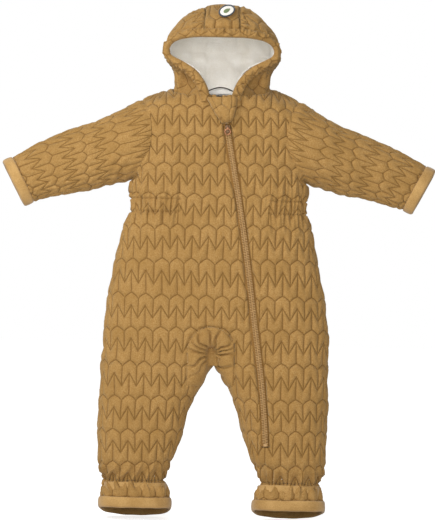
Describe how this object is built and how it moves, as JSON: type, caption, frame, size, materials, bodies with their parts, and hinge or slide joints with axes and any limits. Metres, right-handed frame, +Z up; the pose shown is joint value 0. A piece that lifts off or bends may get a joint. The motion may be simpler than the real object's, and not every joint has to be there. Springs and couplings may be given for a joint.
{
  "type": "baby pram suit",
  "caption": "Hooded quilted baby pram suit with a slanting front zip running into the left leg, elastic waist sides, bound open cuffs and ankles, and a gathered hood brim.",
  "frame": {"origin": "top of the hanger loop in the nape, at the middle of its strap", "axes": "+Z up towards the crown of the hood, -Y out of the zipped front, +X towards the wearer's left sleeve"},
  "size_m": [0.638, 0.1403, 0.7718],
  "materials": {
    "velour": "quilted cotton velour, camel",
    "lining_cotton": "brushed cotton jersey, cream",
    "jersey_binding": "smooth stretch jersey, camel",
    "elastic_rib": "woven elastic, off-white",
    "zip_cloth": "woven zip tape, brown",
    "zip_plastic": "moulded teeth, brown",
    "zip_metal": "lacquered zinc, warm brown",
    "loop_tape": "woven tape, dark grey",
    "badge_cloth": "embroidered twill, off-white with a slate edge"
  },
  "bodies": {
    "trunk": {"front_right_panel": "velour", "front_left_panel": "velour", "back_panel": "velour", "crotch_gusset": "velour", "chin_guard": "velour", "left_sleeve_head": "velour", "right_sleeve_head": "velour", "hood_root": "velour", "front_right_lining": "lining_cotton", "front_left_lining": "lining_cotton", "back_lining": "lining_cotton", "waist_elastic_right": "elastic_rib", "waist_elastic_left": "elastic_rib", "neck_seam_tape": "loop_tape", "hanger_loop": "loop_tape", "zip_tape_right": "zip_cloth", "zip_tape_left": "zip_cloth", "zip_teeth_right": "zip_plastic", "zip_teeth_left": "zip_plastic", "zip_underlap": "jersey_binding", "zip_top_stop_right": "zip_metal", "zip_top_stop_left": "zip_metal"},
    "hood": {"hood_centre": "velour", "hood_right_side": "velour", "hood_left_side": "velour", "hood_brim": "velour", "hood_brim_elastic": "elastic_rib", "hood_lining": "lining_cotton", "hood_badge": "badge_cloth"},
    "left_arm": {"left_sleeve": "velour", "left_sleeve_lining": "lining_cotton", "left_wrist_elastic": "elastic_rib", "left_wrist_binding": "jersey_binding"},
    "right_arm": {"right_sleeve": "velour", "right_sleeve_lining": "lining_cotton", "right_wrist_elastic": "elastic_rib", "right_wrist_binding": "jersey_binding"},
    "left_leg": {"left_leg_front": "velour", "left_leg_back": "velour", "left_leg_lining": "lining_cotton", "left_ankle_elastic": "elastic_rib", "left_foot_cuff": "velour", "left_ankle_binding": "jersey_binding", "zip_tape_right_leg": "zip_cloth", "zip_tape_left_leg": "zip_cloth", "zip_teeth_right_leg": "zip_plastic", "zip_teeth_left_leg": "zip_plastic", "zip_underlap_leg": "jersey_binding", "zip_bottom_stop": "zip_metal"},
    "right_leg": {"right_leg_front": "velour", "right_leg_back": "velour", "right_leg_lining": "lining_cotton", "right_ankle_elastic": "elastic_rib", "right_foot_cuff": "velour", "right_ankle_binding": "jersey_binding"},
    "slider": {"zip_slider": "zip_metal"},
    "pull": {"zip_pull": "zip_metal"}
  },
  "joints": [
    {"name": "hood_fold", "type": "hinge", "parent": "trunk", "child": "hood", "pos_m": [0, -0.0314, -0.0075], "axis": [-1, 0, 0], "range_deg": [0, 40]},
    {"name": "left_sleeve_swing", "type": "hinge", "parent": "trunk", "child": "left_arm", "pos_m": [0.16171, -0.0314, -0.0945], "axis": [0, -1, 0], "range_deg": [-35, 35]},
    {"name": "right_sleeve_swing", "type": "hinge", "parent": "trunk", "child": "right_arm", "pos_m": [-0.16171, -0.0314, -0.0945], "axis": [0, 1, 0], "range_deg": [-35, 35]},
    {"name": "left_leg_fold", "type": "hinge", "parent": "trunk", "child": "left_leg", "pos_m": [0, -0.0314, -0.4575], "axis": [1, 0, 0], "range_deg": [0, 45]},
    {"name": "right_leg_fold", "type": "hinge", "parent": "trunk", "child": "right_leg", "pos_m": [0, -0.0314, -0.4575], "axis": [1, 0, 0], "range_deg": [0, 45]},
    {"name": "zip_slide", "type": "slide", "parent": "trunk", "child": "slider", "axis": [-0.1332, 0, 0.9911], "range_m": [-0.468, 0]},
    {"name": "zip_pull_swing", "type": "hinge", "parent": "slider", "child": "pull", "pos_m": [0.01375, -0.08475, -0.06543], "axis": [-0.9911, 0, -0.1332], "range_deg": [0, 150]}
  ]
}
